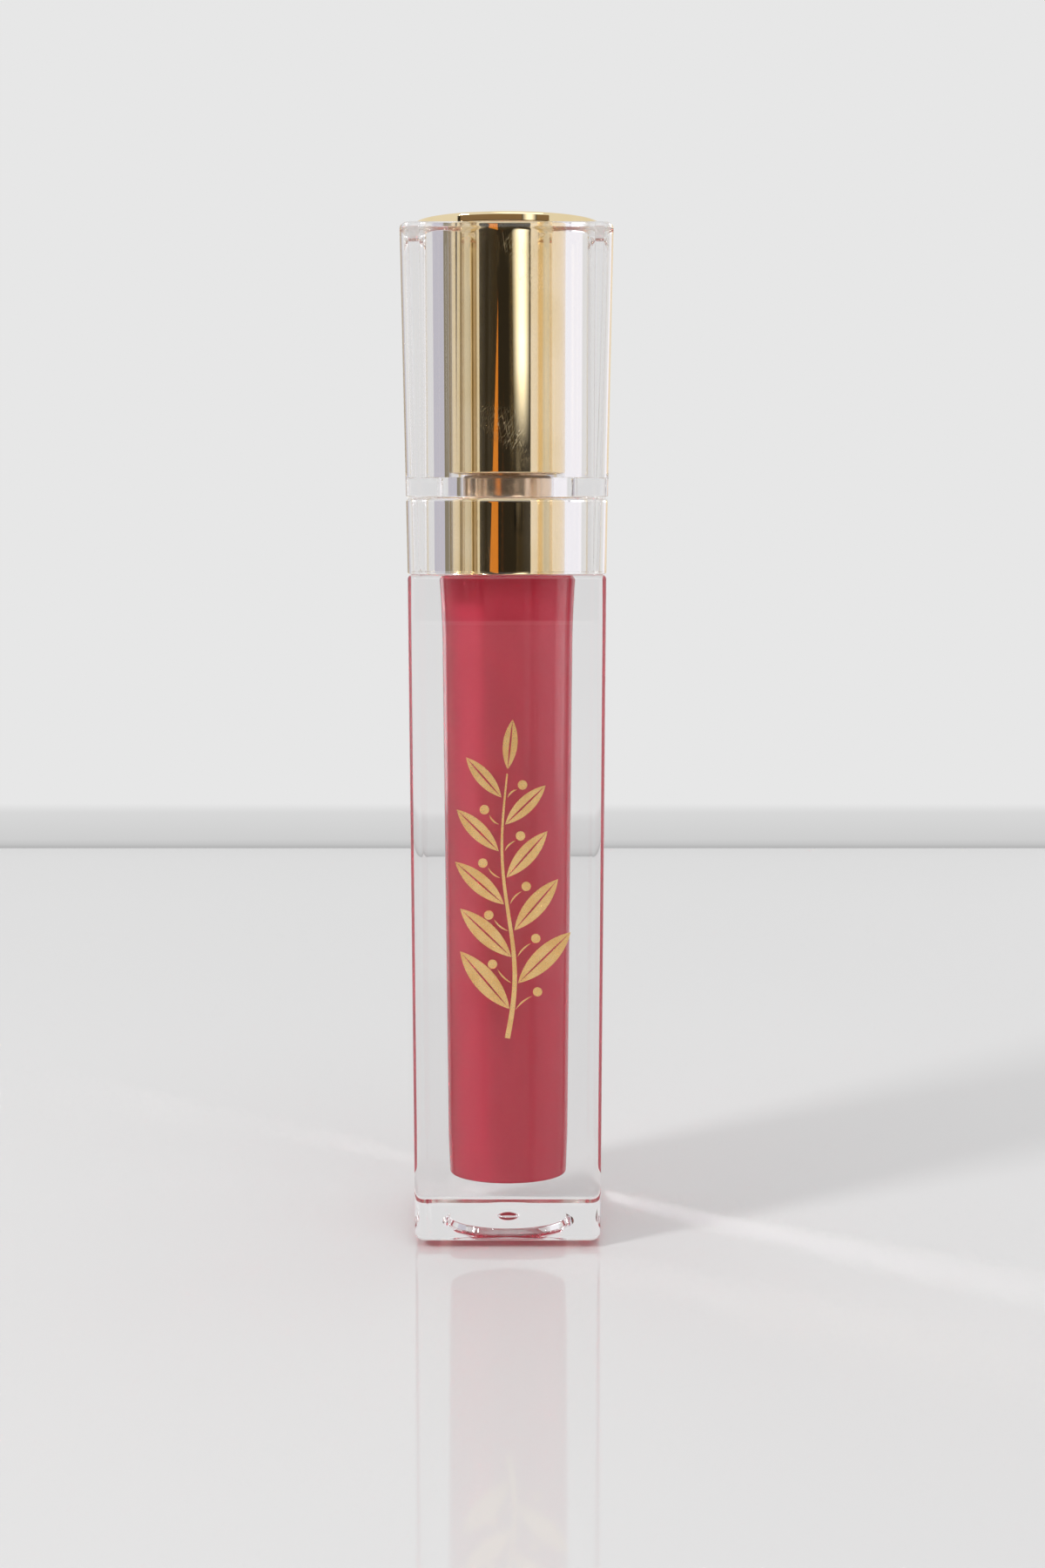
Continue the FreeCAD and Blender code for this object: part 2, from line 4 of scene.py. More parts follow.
import bpy
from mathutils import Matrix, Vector


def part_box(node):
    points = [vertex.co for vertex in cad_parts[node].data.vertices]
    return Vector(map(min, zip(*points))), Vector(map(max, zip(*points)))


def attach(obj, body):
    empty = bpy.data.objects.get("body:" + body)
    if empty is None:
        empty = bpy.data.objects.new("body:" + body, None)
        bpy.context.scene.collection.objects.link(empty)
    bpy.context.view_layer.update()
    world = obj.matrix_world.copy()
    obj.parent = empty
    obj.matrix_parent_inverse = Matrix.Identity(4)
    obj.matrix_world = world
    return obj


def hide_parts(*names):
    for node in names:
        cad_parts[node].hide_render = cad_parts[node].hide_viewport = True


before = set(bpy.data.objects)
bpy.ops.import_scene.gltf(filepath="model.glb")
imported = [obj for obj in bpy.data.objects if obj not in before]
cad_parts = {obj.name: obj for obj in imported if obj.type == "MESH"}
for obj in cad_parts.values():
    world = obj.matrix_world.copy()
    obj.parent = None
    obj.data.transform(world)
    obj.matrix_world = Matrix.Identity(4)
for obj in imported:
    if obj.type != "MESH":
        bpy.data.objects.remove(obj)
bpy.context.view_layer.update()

# Outlines are written in millimetres from the lower edge of the side faces, as in the CAD model. They
# are raised on to the foot ring and scaled when a mesh is made.
MM = 0.001
FOOT_HEIGHT = 0.7

# Mesh resolution.
CORNER_STEPS = 10
FLAT_STEPS = 44
LATHE_STEPS = 240
ROUND_DEGREES = 11
FLARE_STEPS = 12
LAST_TURN = 0.9
SUPPORT = 0.05
SHARP_ANGLE = math.radians(32)

# Rounding of the clear pieces.
CORNER_RADIUS = 1.3
EDGE_ROUND = 0.4
SEAT_ROUND = 0.2
CAP_EDGE_ROUND = 0.65
BASE_ROUND = 0.6
FINE_ROUND = 0.12

# Bottle: taper, cavity, foot and spigot.
BASE_DRAFT = 0.2
CAVITY_FOOT = (6.33, 9.5)
CAVITY_WALL = (6.68, 61.0)
CAVITY_FLOOR_RADIUS = 6.18
CAVITY_FLOOR_ROUND = 0.3
CAVITY_FLOOR_SAG = 0.15
CAVITY_FLOOR_SHARES = (0.8, 0.6, 0.4, 0.2)
CAVITY_MOUTH_RADIUS = 7.0
FOOT_RING_RADIUS = 7.1
FOOT_RING_ROUND = 0.15
RECESS_RADIUS = 6.5
RECESS_DRAFT = 0.2
RECESS_CEILING_Z = 0.6
GATE_PIT_RADIUS = 1.2
GATE_PIT_DEPTH = 0.5
GATE_PIT_SHARES = (0.2, 0.4, 0.6, 0.75, 0.87, 0.95, 1.0)
SPIGOT_RADIUS = 8.0
SHOULDER_Z = 69.4
WETTING = 0.03

# Neck, well, bores and gold pieces.
NECK_COLUMN_RADIUS = 4.72
WELL_RADIUS = 2.85
WELL_BOTTOM_Z = 7.4
BORE_RADIUS = 8.85
CAP_FLOOR_THICKNESS = 2.0
CAP_FLOOR_BORE_RADIUS = 7.15
GOLD_WALL = 0.55
COLLAR_LIP_RADIUS = 7.05
COLLAR_LIP_THICKNESS = 0.6
LINER_RADIUS = 8.78
HEAD_ROUND = 0.3


def size_of(node):
    """Half-width, lowest and highest point of a node, in millimetres as outlines are written."""
    low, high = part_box(node)
    return (high.x - low.x) / 2 / MM, low.z / MM - FOOT_HEIGHT, high.z / MM - FOOT_HEIGHT


SHOULDER_HALF, FOOT_LOW_Z, SPIGOT_TOP_Z = size_of("bottle_body")
COLLAR_TOP_HALF, COLLAR_LOW_Z, COLLAR_TOP_Z = size_of("collar_shell")
CAP_TOP_HALF, CAP_LOW_Z, CAP_TOP_Z = size_of("overcap")
HEAD_RADIUS, LINER_LOW_Z, TUBE_TOP_Z = size_of("cap_liner")
GLOSS_TOP_Z = size_of("gloss_fill")[2]
CAVITY_FLOOR_Z = size_of("gloss_fill")[1] - WETTING
BASE_HALF = SHOULDER_HALF - BASE_DRAFT


# ---------------------------------------------------------------- outlines

def arc(centre, radius, start, end):
    """Points of an arc in the (radius, height) plane, from start to end degrees."""
    steps = max(2, round(abs(end - start) / ROUND_DEGREES))
    angles = [math.radians(start + (end - start) * index / steps) for index in range(steps + 1)]
    return [(centre[0] + radius * math.cos(a), centre[1] + radius * math.sin(a)) for a in angles]


def supported(points):
    """The outline with a point near each end of its long straight runs, to keep smooth shading flat there."""
    out = [points[0]]
    for here, there in zip(points, points[1:]):
        length = math.dist(here, there)
        if length > 4 * SUPPORT:
            share = SUPPORT / length
            for part in (share, 1 - share):
                out.append(tuple(a + (b - a) * part for a, b in zip(here, there)))
        if length > 0:
            out.append(there)
    return out


def square_ring(half, radius, z):
    """Ring of a rounded square of half-width half. Its points lie at even angles along the flats."""
    flat = half - radius
    reach = math.atan2(flat, half)
    ring = []
    for quarter in range(4):
        side = [(flat + radius * math.cos(a), flat + radius * math.sin(a))
                for a in (math.pi / 2 * index / CORNER_STEPS for index in range(CORNER_STEPS + 1))]
        turns = [1 - 2 * index / FLAT_STEPS for index in range(1, FLAT_STEPS)]
        first = turns[0] + LAST_TURN * (1 - turns[0])
        last = turns[-1] - LAST_TURN * (1 + turns[-1])
        turns = [first] + turns + [last]
        side += [(half * math.tan(reach * share), half) for share in turns]
        angle = math.pi / 2 * quarter
        ring += [(x * math.cos(angle) - y * math.sin(angle), x * math.sin(angle) + y * math.cos(angle), z)
                 for x, y in side]
    return ring


RING_ANGLES = [math.atan2(y, x) for x, y, _ in square_ring(BASE_HALF, CORNER_RADIUS, 0)]


def circle_ring(radius, z):
    """Circle whose points face those of the square rings."""
    return [(radius * math.cos(a), radius * math.sin(a), z) for a in RING_ANGLES]


def block_rings(low_z, high_z, low_half, high_half, low_round, high_round):
    """Rings up the outside of a tapered square block, from its bottom face's edge to its top face's edge."""
    outline = [(-SUPPORT - low_round, low_z)]
    outline += arc((-low_round, low_z + low_round), low_round, -90, 0)
    outline += arc((-high_round, high_z - high_round), high_round, 0, 90)
    outline += [(-SUPPORT - high_round, high_z)]
    rings = []
    for inset, z in supported(outline):
        half = low_half + (high_half - low_half) * (z - low_z) / (high_z - low_z)
        rings.append(square_ring(half + inset, max(CORNER_RADIUS + inset, SUPPORT), z))
    return rings


def circles(outline):
    """Rings of a round outline of (radius, z) points."""
    return [circle_ring(radius, z) for radius, z in supported(outline)]


# ---------------------------------------------------------------- meshes

def finished(name, points, faces):
    """Object of a smooth mesh with its sharp edges kept, from points in millimetres."""
    mesh = bpy.data.meshes.new(name)
    mesh.from_pydata([(x * MM, y * MM, (z + FOOT_HEIGHT) * MM) for x, y, z in points], [], faces)
    mesh.validate()
    mesh.polygons.foreach_set("use_smooth", [True] * len(mesh.polygons))
    mesh.set_sharp_from_angle(angle=SHARP_ANGLE)
    mesh.update()
    piece = bpy.data.objects.new(name, mesh)
    bpy.context.collection.objects.link(piece)
    return piece


def skin(name, rings, low_pole=None, high_pole=None):
    """Mesh over a row of equal rings. It closes on itself if it has no poles."""
    count = len(rings[0])
    points = [point for ring in rings for point in ring]
    spans = len(rings) if low_pole is None else len(rings) - 1
    faces = []
    for row in range(spans):
        low, high = row * count, (row + 1) % len(rings) * count
        for i in range(count):
            j = (i + 1) % count
            faces.append((low + i, low + j, high + j, high + i))
    if low_pole is not None:
        last = (len(rings) - 1) * count
        points += [low_pole, high_pole]
        low_tip, high_tip = len(points) - 2, len(points) - 1
        for i in range(count):
            j = (i + 1) % count
            faces.append((low_tip, j, i))
            faces.append((high_tip, last + i, last + j))
    return finished(name, points, faces)


def lathe(name, outline):
    """Solid of revolution of an anticlockwise (radius, z) outline, from the axis or closed on itself."""
    on_axis = outline[0][0] == 0
    points = supported(outline if on_axis else outline + outline[:1])
    if not on_axis:
        points = points[:-1]
    poles = (None, None)
    if on_axis:
        poles = ((0, 0, points[0][1]), (0, 0, points[-1][1]))
        points = points[1:-1]
    angles = [2 * math.pi * index / LATHE_STEPS for index in range(LATHE_STEPS)]
    rings = [[(radius * math.cos(a), radius * math.sin(a), z) for a in angles] for radius, z in points]
    return skin(name, rings, *poles)


# ---------------------------------------------------------------- material nodes

SCRATCH_WIDTH = 0.012
SCRATCH_PATCH = 8


class Finish:
    """A procedural material: a Principled shader with plain values, and maps added by its methods."""

    def __init__(self, name, **values):
        self.material = bpy.data.materials.new(name)
        self.material.use_nodes = True
        self.tree = self.material.node_tree
        self.shader = self.tree.nodes["Principled BSDF"]
        for socket, value in values.items():
            self.shader.inputs[socket.replace("_", " ")].default_value = value
        self.coordinates = self.node("ShaderNodeTexCoord")
        self.place = self.coordinates.outputs["Object"]

    def node(self, kind, **settings):
        made = self.tree.nodes.new(kind)
        for key, value in settings.items():
            setattr(made, key, value)
        return made

    def link(self, source, target):
        self.tree.links.new(source, target)

    def noise(self, size, stretch=(1, 1, 1), detail=3.0, lean=0):
        """Noise with features about size metres across, drawn out by stretch along X, Y and Z.

        Lean is in degrees from upright towards +X."""
        mapping = self.node("ShaderNodeMapping", vector_type="TEXTURE")
        mapping.inputs["Scale"].default_value = stretch
        mapping.inputs["Rotation"].default_value = (0, math.radians(lean), 0)
        texture = self.node("ShaderNodeTexNoise")
        texture.inputs["Scale"].default_value = 1 / size
        texture.inputs["Detail"].default_value = detail
        self.link(self.place, mapping.inputs["Vector"])
        self.link(mapping.outputs["Vector"], texture.inputs["Vector"])
        return texture.outputs["Fac"]

    def spread(self, source, low, high, to_low, to_high):
        """source between low and high, turned into a value between to_low and to_high."""
        node = self.node("ShaderNodeMapRange", clamp=True)
        for socket, value in zip(("From Min", "From Max", "To Min", "To Max"), (low, high, to_low, to_high)):
            node.inputs[socket].default_value = value
        self.link(source, node.inputs["Value"])
        return node.outputs["Result"]

    def along_z(self, vector):
        """Z part of a vector socket."""
        parts = self.node("ShaderNodeSeparateXYZ")
        self.link(vector, parts.inputs["Vector"])
        return parts.outputs["Z"]

    def height(self, low, high):
        """0 below low and 1 above high, in millimetres above the lower edge of the side faces at rest."""
        ends = [(level + FOOT_HEIGHT) * MM for level in (low, high)]
        return self.spread(self.along_z(self.place), *ends, 0, 1)

    def upright(self):
        """1 on faces that look up or down, and 0 on the rest."""
        facing = self.along_z(self.coordinates.outputs["Normal"])
        return self.spread(self.maths("ABSOLUTE", facing, 0), 0.97, 0.99, 0, 1)

    def maths(self, operation, first, second):
        """Result of a maths operation on two values, each a number or a socket."""
        node = self.node("ShaderNodeMath", operation=operation)
        for socket, value in zip(node.inputs, (first, second)):
            if isinstance(value, (int, float)):
                socket.default_value = value
            else:
                self.link(value, socket)
        return node.outputs["Value"]

    def mix(self, factor, first, second):
        """Colour between first and second, each an RGB colour or another socket."""
        node = self.node("ShaderNodeMix", data_type="RGBA")
        self.link(factor, node.inputs["Factor"])
        for name, value in (("A", first), ("B", second)):
            socket = [s for s in node.inputs if s.name == name and s.type == "RGBA"][0]
            if isinstance(value, tuple):
                socket.default_value = (*value, 1)
            else:
                self.link(value, socket)
        return [s for s in node.outputs if s.type == "RGBA"][0]

    def scratches(self, size, stretch, lean=0):
        """Sparse fine lines: 1 on a scratch and 0 off it."""
        lines = self.noise(size, stretch, detail=1.0, lean=lean)
        middle = self.maths("ABSOLUTE", self.maths("SUBTRACT", lines, 0.5), 0)
        near = self.spread(middle, 0, SCRATCH_WIDTH, 1, 0)
        patches = self.spread(self.noise(SCRATCH_PATCH * MM, detail=1.0), 0.55, 0.7, 0, 1)
        return self.maths("MULTIPLY", near, patches)

    def colour(self, source):
        self.link(source, self.shader.inputs["Base Color"])

    def roughness(self, source):
        self.link(source, self.shader.inputs["Roughness"])

    def bump(self, source, depth):
        """Raise the surface by source times depth millimetres."""
        node = self.node("ShaderNodeBump")
        node.inputs["Strength"].default_value = 1
        node.inputs["Distance"].default_value = depth * MM
        self.link(source, node.inputs["Height"])
        self.link(node.outputs["Normal"], self.shader.inputs["Normal"])


def coloured(red, green, blue):
    """Linear colour of an sRGB one given from 0 to 255."""
    def linear(value):
        value = value / 255
        return value / 12.92 if value <= 0.04045 else ((value + 0.055) / 1.055) ** 2.4
    return linear(red), linear(green), linear(blue)


# ---------------------------------------------------------------- finishes

CLEAR_TINT = (0.94, 0.935, 0.94)
CLEAR_WARM = (0.92, 0.91, 0.91)
SEAT_HAZE = 0.45
GOLD_LIGHT = (0.96, 0.80, 0.51)
GOLD_DEEP = (0.92, 0.75, 0.44)
FOIL_LIGHT = (0.95, 0.62, 0.27)
FOIL_DEEP = (0.88, 0.53, 0.21)
GLOSS_PINK = (0.66, 0.070, 0.110)
GLOSS_DEEP = (0.61, 0.061, 0.096)
NECK_LIGHT = (0.88, 0.70, 0.50)
NECK_DEEP = (0.74, 0.54, 0.37)
WIPER_LIGHT = (0.80, 0.62, 0.62)
WIPER_DEEP = (0.74, 0.52, 0.54)
WHITE_LIGHT = (0.80, 0.79, 0.77)
WHITE_DEEP = (0.74, 0.73, 0.71)
CORE_WHITE = (0.78, 0.77, 0.75)
FOAM_LIGHT = (0.86, 0.85, 0.82)
FOAM_DEEP = (0.72, 0.71, 0.68)
FLOCK_PINK = (0.74, 0.27, 0.31)

# Heights in millimetres up to which gloss clings to the wand.
STEM_FILM_TOP = 77
CORE_FILM_TOP = 34


def clear_plastic():
    """Polished clear plastic, hazed on the flat faces where one clear piece sits on another."""
    finish = Finish("clear_plastic", Transmission_Weight=1.0, IOR=1.49)
    finish.colour(finish.mix(finish.noise(12 * MM), CLEAR_TINT, CLEAR_WARM))
    wear = finish.scratches(0.3 * MM, (1, 1, 14))
    cloud = finish.spread(finish.noise(4 * MM), 0.4, 0.8, 0.0, 0.02)
    haze = finish.maths("ADD", cloud, finish.maths("MULTIPLY", wear, 0.12))
    seats = finish.maths("MULTIPLY", finish.upright(), finish.height(SHOULDER_Z - 2, SHOULDER_Z - 1))
    finish.roughness(finish.maths("ADD", haze, finish.maths("MULTIPLY", seats, SEAT_HAZE)))
    finish.bump(finish.noise(9 * MM, detail=0.0), 0.002)
    return finish.material


def gold():
    """Metallised gold with fine leaning scratches."""
    finish = Finish("gold_plate", Metallic=1.0)
    finish.colour(finish.mix(finish.spread(finish.noise(5 * MM), 0.35, 0.65, 0, 1), GOLD_LIGHT, GOLD_DEEP))
    wear = finish.maths("MAXIMUM", finish.scratches(0.15 * MM, (1, 1, 30), lean=32),
                        finish.scratches(0.20 * MM, (1, 1, 40), lean=-8))
    haze = finish.spread(finish.noise(2 * MM), 0.4, 0.8, 0.03, 0.08)
    finish.roughness(finish.maths("ADD", haze, finish.maths("MULTIPLY", wear, 0.6)))
    finish.bump(finish.noise(3 * MM, (1, 1, 3), detail=2.0), 0.002)
    return finish.material


def foil():
    """Hot-stamped foil with a satin grain."""
    finish = Finish("gold_foil", Metallic=1.0)
    grain = finish.noise(0.12 * MM, detail=4.0)
    finish.colour(finish.mix(finish.spread(finish.noise(1.6 * MM), 0.4, 0.65, 0, 1), FOIL_LIGHT, FOIL_DEEP))
    finish.roughness(finish.spread(grain, 0.3, 0.7, 0.22, 0.38))
    finish.bump(grain, 0.004)
    return finish.material


def lip_gloss():
    """Opaque cream with faint upright swirls."""
    finish = Finish("lip_gloss", Specular_IOR_Level=0.25)
    swirl = finish.noise(6 * MM, (1, 1, 2.5), detail=4.0)
    finish.colour(finish.mix(finish.spread(swirl, 0.35, 0.65, 0, 1), GLOSS_PINK, GLOSS_DEEP))
    finish.roughness(finish.spread(swirl, 0.3, 0.7, 0.09, 0.15))
    finish.bump(finish.noise(3 * MM), 0.01)
    return finish.material


def moulded(name, light, deep, roughness, **values):
    """Moulded plastic with a soft colour drift, faint flow marks and a little haze."""
    finish = Finish(name, **values)
    flow = finish.noise(3 * MM, (1, 1, 3))
    finish.colour(finish.mix(finish.spread(flow, 0.35, 0.65, 0, 1), light, deep))
    wear = finish.scratches(0.2 * MM, (4, 4, 1))
    haze = finish.spread(finish.noise(0.6 * MM), 0.3, 0.7, roughness, roughness + 0.1)
    finish.roughness(finish.maths("ADD", haze, finish.maths("MULTIPLY", wear, 0.15)))
    finish.bump(finish.noise(0.8 * MM), 0.003)
    return finish.material


def smeared(name, plastic, gloss_top, roughness):
    """Plastic that has a film of gloss up to gloss_top millimetres."""
    finish = Finish(name, Coat_Weight=0.4, Coat_Roughness=0.08)
    film = finish.noise(2.2 * MM, (1, 1, 5), detail=4.0)
    below = finish.height(gloss_top + 2, gloss_top - 2)
    cover = finish.maths("MULTIPLY", below, finish.spread(film, 0.38, 0.55, 0.35, 1))
    finish.colour(finish.mix(cover, plastic, GLOSS_PINK))
    finish.roughness(finish.spread(cover, 0, 1, roughness, 0.16))
    finish.bump(finish.maths("MULTIPLY", film, below), 0.05)
    return finish.material


def foam():
    """Fine-celled white foam."""
    finish = Finish("seal_foam")
    cells = finish.noise(0.25 * MM, detail=4.0)
    finish.colour(finish.mix(cells, FOAM_LIGHT, FOAM_DEEP))
    finish.roughness(finish.spread(cells, 0.3, 0.7, 0.6, 0.85))
    finish.bump(cells, 0.05)
    return finish.material


def flock():
    """Short fibres soaked with gloss."""
    finish = Finish("flock", Sheen_Weight=0.5, Coat_Weight=0.25, Coat_Roughness=0.3)
    fibres = finish.noise(0.1 * MM, detail=5.0)
    soak = finish.noise(1.5 * MM)
    finish.colour(finish.mix(finish.spread(soak, 0.35, 0.6, 0, 1), FLOCK_PINK, GLOSS_PINK))
    finish.roughness(finish.spread(fibres, 0.3, 0.7, 0.45, 0.9))
    finish.bump(fibres, 0.06)
    return finish.material


# ---------------------------------------------------------------- pieces

def cavity_outline(margin):
    """Outline of the bottle's cavity from its mouth down to the axis, moved outwards by margin."""
    sag, corner = CAVITY_FLOOR_SAG, CAVITY_FLOOR_ROUND
    floor_z = CAVITY_FLOOR_Z
    wall_radius, wall_z = CAVITY_WALL
    mouth_radius = CAVITY_MOUTH_RADIUS
    flare = []
    for index in range(FLARE_STEPS + 1):
        share = index / FLARE_STEPS
        radius = mouth_radius + (wall_radius - mouth_radius) * (1 - (1 - share) ** 2)
        flare.append((radius, SHOULDER_Z + (wall_z - SHOULDER_Z) * share))
    centre = (CAVITY_FLOOR_RADIUS - corner, floor_z + corner + sag)
    floor = arc(centre, corner, 0, -90)
    dish = [(centre[0] * share, floor_z + sag * share ** 2) for share in CAVITY_FLOOR_SHARES]
    outline = flare + [CAVITY_FOOT] + floor + dish
    return [(radius + margin, z - margin * (z < CAVITY_FOOT[1])) for radius, z in outline]


def foot_outline():
    """Outline of the bottle's underside, from the gate pit out over the foot ring."""
    ring_low = FOOT_LOW_Z + FOOT_RING_ROUND
    recess_corner = (RECESS_RADIUS - RECESS_DRAFT - FINE_ROUND, RECESS_CEILING_Z - FINE_ROUND)
    outline = []
    for share in GATE_PIT_SHARES:
        bow = math.sqrt(1 - share ** 2)
        outline.append((GATE_PIT_RADIUS * share, RECESS_CEILING_Z + GATE_PIT_DEPTH * bow))
    outline += arc(recess_corner, FINE_ROUND, 90, 0)
    outline += [(RECESS_RADIUS, 0)]
    outline += arc((RECESS_RADIUS + FOOT_RING_ROUND, ring_low), FOOT_RING_ROUND, 180, 270)
    outline += arc((FOOT_RING_RADIUS - FOOT_RING_ROUND, ring_low), FOOT_RING_ROUND, -90, 0)
    outline += [(FOOT_RING_RADIUS, 0)]
    return outline


def spigot_outline():
    """Outline of the round spigot above the bottle's shoulder, up to the cavity's mouth."""
    outline = [(SPIGOT_RADIUS, SHOULDER_Z)]
    outline += arc((SPIGOT_RADIUS - SEAT_ROUND, SPIGOT_TOP_Z - SEAT_ROUND), SEAT_ROUND, 0, 90)
    outline += [(CAVITY_MOUTH_RADIUS, SPIGOT_TOP_Z)]
    return outline


def bottle():
    """Thick-walled clear bottle in one skin, from the gate pit up the outside and down into the cavity."""
    rings = circles(foot_outline())
    rings += block_rings(0, SHOULDER_Z, BASE_HALF, SHOULDER_HALF, BASE_ROUND, EDGE_ROUND)
    rings += circles(spigot_outline() + cavity_outline(0))
    piece = skin("bottle_glass", rings, (0, 0, RECESS_CEILING_Z + GATE_PIT_DEPTH), (0, 0, CAVITY_FLOOR_Z))
    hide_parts("bottle_body")
    return dress(piece, "bottle", clear_plastic)


def gloss():
    """Gloss in the bottle. Its skin is bedded a little into the wall, as a liquid wets it."""
    top_z = SHOULDER_Z + 2 * WETTING
    column = [(NECK_COLUMN_RADIUS, top_z), (NECK_COLUMN_RADIUS, GLOSS_TOP_Z), (WELL_RADIUS, GLOSS_TOP_Z),
              (WELL_RADIUS, WELL_BOTTOM_Z), (0, WELL_BOTTOM_Z)]
    wall = cavity_outline(WETTING)[::-1]
    outline = [(0, CAVITY_FLOOR_Z - WETTING)] + wall + [(wall[-1][0], top_z)] + column
    piece = lathe("gloss", outline)
    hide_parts("gloss_fill")
    return dress(piece, "bottle", lip_gloss)


def collar():
    """Clear square collar with its round bore."""
    rings = block_rings(COLLAR_LOW_Z, COLLAR_TOP_Z, SHOULDER_HALF, COLLAR_TOP_HALF, SEAT_ROUND, EDGE_ROUND)
    rings += circles([(BORE_RADIUS, COLLAR_TOP_Z), (BORE_RADIUS, COLLAR_LOW_Z)])
    piece = skin("collar_glass", rings)
    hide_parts("collar_shell")
    return dress(piece, "bottle", clear_plastic)


def cap_sleeve():
    """Clear square sleeve of the cap, with its bore and its clear floor."""
    floor_z = CAP_LOW_Z + CAP_FLOOR_THICKNESS
    rings = block_rings(CAP_LOW_Z, CAP_TOP_Z, COLLAR_TOP_HALF, CAP_TOP_HALF, SEAT_ROUND, CAP_EDGE_ROUND)
    rings += circles([(BORE_RADIUS, CAP_TOP_Z), (BORE_RADIUS, floor_z), (CAP_FLOOR_BORE_RADIUS, floor_z),
                      (CAP_FLOOR_BORE_RADIUS, CAP_LOW_Z)])
    piece = skin("cap_glass", rings)
    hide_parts("overcap")
    return dress(piece, "cap", clear_plastic)


def collar_gold():
    """Gold ring in the collar, rolled over to its lip at the top."""
    low_z, top_z = size_of("collar_ring")[1:]
    inside = LINER_RADIUS - GOLD_WALL
    lip_z = top_z - COLLAR_LIP_THICKNESS
    outline = [(inside, low_z)]
    outline += arc((LINER_RADIUS - FINE_ROUND, low_z + FINE_ROUND), FINE_ROUND, -90, 0)
    outline += arc((LINER_RADIUS - SEAT_ROUND, top_z - SEAT_ROUND), SEAT_ROUND, 0, 90)
    outline += arc((COLLAR_LIP_RADIUS + SEAT_ROUND, top_z - SEAT_ROUND), SEAT_ROUND, 90, 180)
    outline += [(COLLAR_LIP_RADIUS, lip_z), (inside, lip_z)]
    piece = lathe("collar_gold", outline)
    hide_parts("collar_ring")
    return dress(piece, "bottle", gold)


def liner_gold():
    """Gold liner of the cap with its round head."""
    inside = LINER_RADIUS - GOLD_WALL
    head_z = CAP_TOP_Z + SUPPORT
    outline = [(inside, CAP_TOP_Z), (inside, LINER_LOW_Z)]
    outline += arc((LINER_RADIUS - FINE_ROUND, LINER_LOW_Z + FINE_ROUND), FINE_ROUND, -90, 0)
    outline += [(LINER_RADIUS, head_z)]
    outline += arc((HEAD_RADIUS - FINE_ROUND, head_z + FINE_ROUND), FINE_ROUND, -90, 0)
    outline += arc((HEAD_RADIUS - HEAD_ROUND, TUBE_TOP_Z - HEAD_ROUND), HEAD_ROUND, 0, 90)
    outline = [(0, CAP_TOP_Z)] + outline + [(0, TUBE_TOP_Z)]
    piece = lathe("cap_gold", outline)
    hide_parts("cap_liner")
    return dress(piece, "cap", gold)


FINISHES = {}


def finish_for(maker):
    """The material that a function makes, made once and shared."""
    if maker not in FINISHES:
        FINISHES[maker] = maker()
    return FINISHES[maker]


def dress(piece, body, maker):
    """Give a piece its body, slot and material."""
    piece.data.materials.append(finish_for(maker))
    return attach(piece, body)


def paint(node, material):
    """Give a carried-over CAD node a detailed material."""
    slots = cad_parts[node].material_slots
    for index in range(len(slots)):
        slots[index].material = material


bottle()
gloss()
collar()
cap_sleeve()
collar_gold()
liner_gold()

paint("front_ornament", foil())
paint("threaded_neck", moulded("neck_plastic", NECK_LIGHT, NECK_DEEP, 0.12, Metallic=0.85))
paint("wiper", moulded("wiper_plastic", WIPER_LIGHT, WIPER_DEEP, 0.3))
paint("inner_cap", moulded("white_plastic", WHITE_LIGHT, WHITE_DEEP, 0.25))
paint("seal_washer", foam())
paint("wand_stem", smeared("stem_plastic", WHITE_LIGHT, STEM_FILM_TOP, 0.2))
paint("applicator_core", smeared("core_plastic", CORE_WHITE, CORE_FILM_TOP, 0.3))
paint("applicator_flock", flock())


# ---------------------------------------------------------------- stage and light

# Table, in metres.
TABLE_Z = -0.02 * MM
TABLE_BACK = 0.226
TABLE_FRONT = -0.9
TABLE_SIDE = 0.9
TABLE_GREY = (0.71, 0.71, 0.71)

# Glowing strip behind the table, with painted shade at its foot: heights in millimetres, the grey at each,
# then the room's grey.
STRIP_HEIGHTS = (0.0, 0.9, 2.0, 8.0, 10.0)
STRIP_SHADE_SRGB = (176, 197, 207, 216, 231)
WALL_GREY = coloured(231, 231, 231)

# Cards, lamps and light paths.
CARD_STEPS = 16
AIM_Z = 50
LIGHT_BOUNCES = 40

# Camera, in millimetres and degrees.
CAMERA_LENS = 46
CAMERA_SENSOR = 36
CAMERA_ACROSS = 1.55
CAMERA_DISTANCE = 210
CAMERA_HEIGHT = 78
CAMERA_TILT = 81.6


def stage_mesh(name, points, faces, material):
    """Stage face or card on given points, in metres."""
    mesh = bpy.data.meshes.new(name)
    mesh.from_pydata(points, [], faces)
    made = bpy.data.objects.new(name, mesh)
    bpy.context.collection.objects.link(made)
    mesh.materials.append(material)
    return made


def glowing(name, colour):
    """Material that only gives off light, scaled by the mesh's glow attribute."""
    material = bpy.data.materials.new(name)
    material.use_nodes = True
    tree = material.node_tree
    tree.nodes.clear()
    shader = tree.nodes.new("ShaderNodeEmission")
    shader.inputs["Color"].default_value = (*colour, 1)
    glow = tree.nodes.new("ShaderNodeAttribute")
    glow.attribute_name = "glow"
    output = tree.nodes.new("ShaderNodeOutputMaterial")
    tree.links.new(glow.outputs["Fac"], shader.inputs["Strength"])
    tree.links.new(shader.outputs["Emission"], output.inputs["Surface"])
    return material


def set_glow(made, values):
    """Store how brightly each point of a stage mesh glows."""
    layer = made.data.attributes.new("glow", "FLOAT", "POINT")
    layer.data.foreach_set("value", values)


